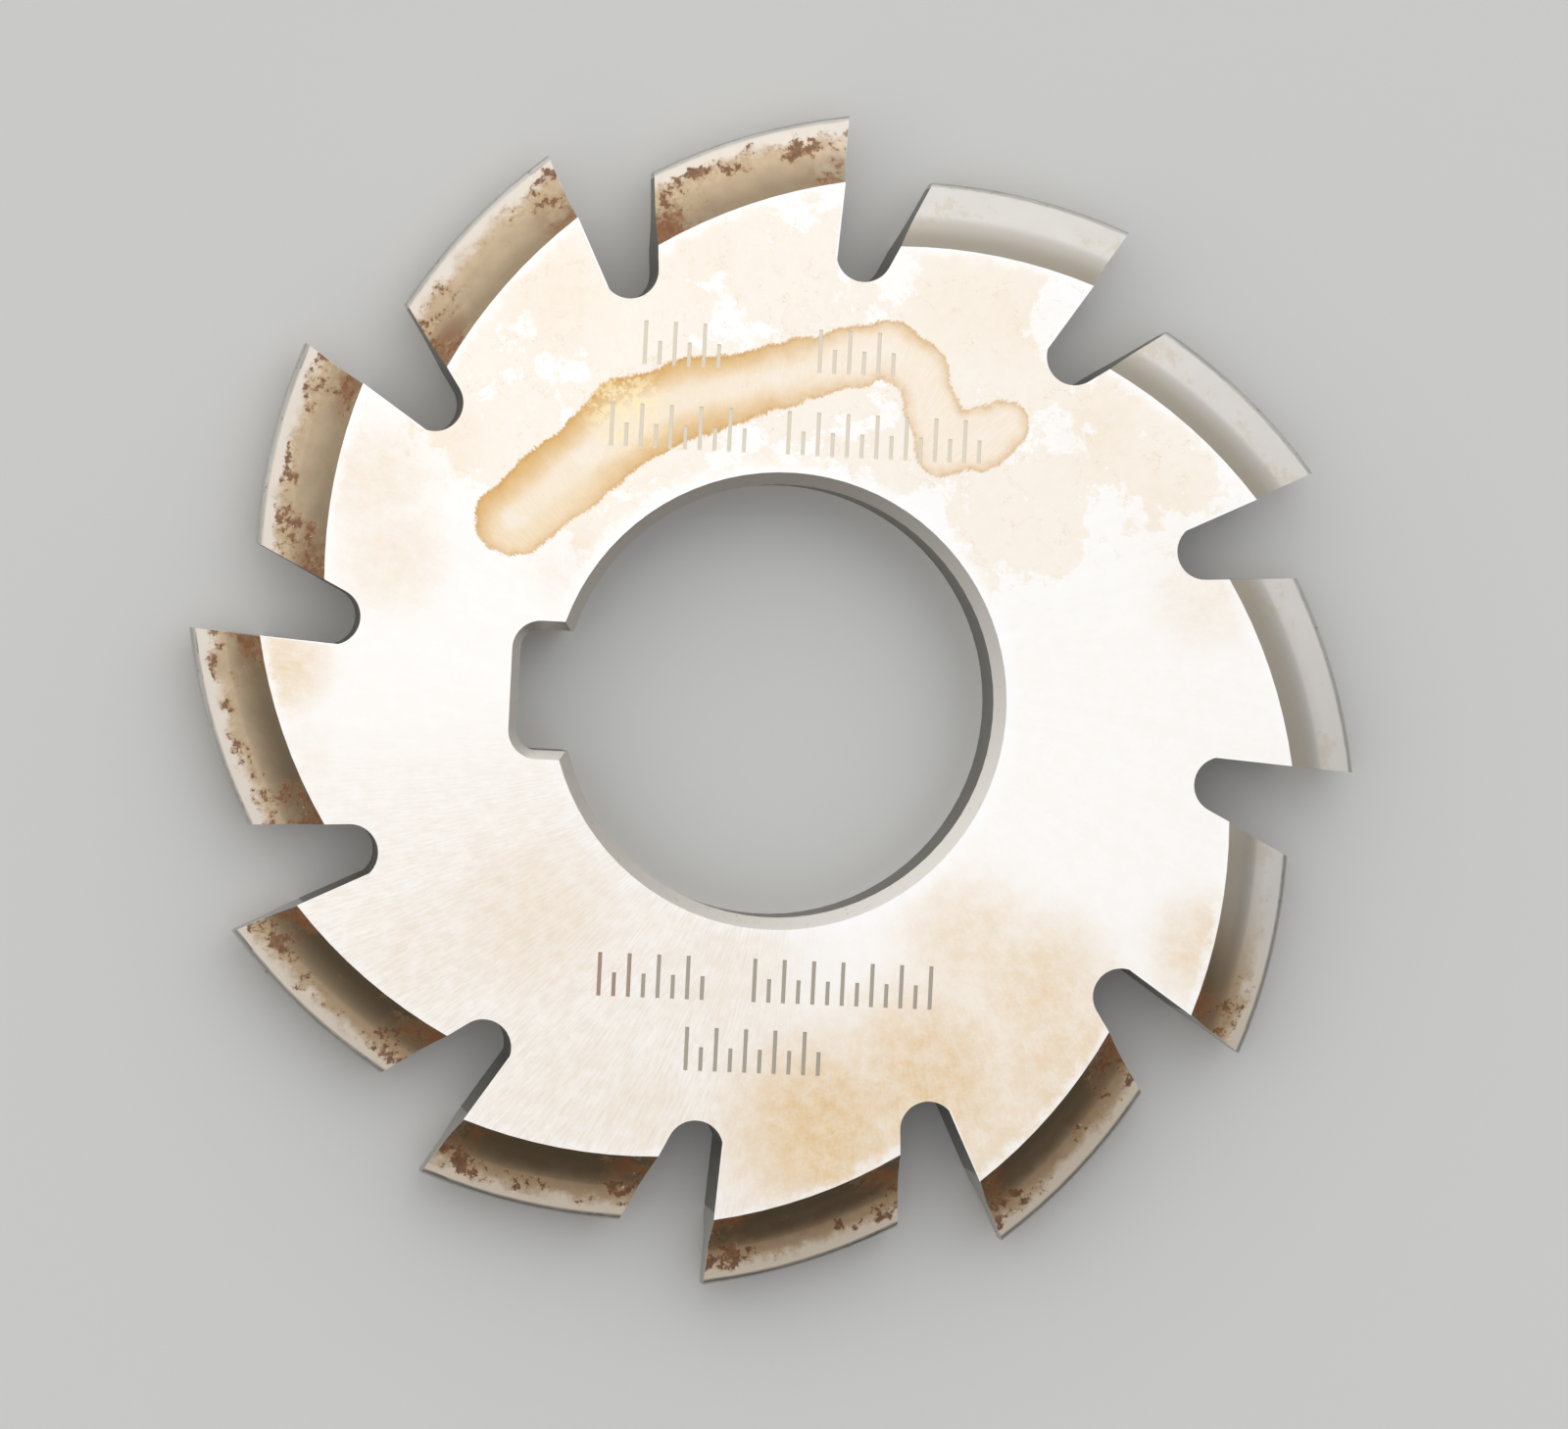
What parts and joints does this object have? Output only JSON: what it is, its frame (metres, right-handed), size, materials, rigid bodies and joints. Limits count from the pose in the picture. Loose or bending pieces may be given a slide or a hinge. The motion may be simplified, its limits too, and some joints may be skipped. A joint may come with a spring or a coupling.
{
  "type": "gear milling cutter",
  "caption": "Disc-shaped, form-relieved gear milling cutter with an approximate tooth profile, round-bottomed gullets, ground side faces and a chamfered bore with a keyway.",
  "frame": {"origin": "centre of the bore, half way through the thickness", "axes": "+Z along the bore, out of the marked face; the keyway lies along -X"},
  "size_m": [0.0598, 0.0598, 0.0054],
  "materials": {
    "tool_steel": "ground high-speed steel with cream and tan stains, and rust spots on the relieved flanks"
  },
  "bodies": {
    "root": {"gear_cutter": "tool_steel"}
  },
  "joints": []
}
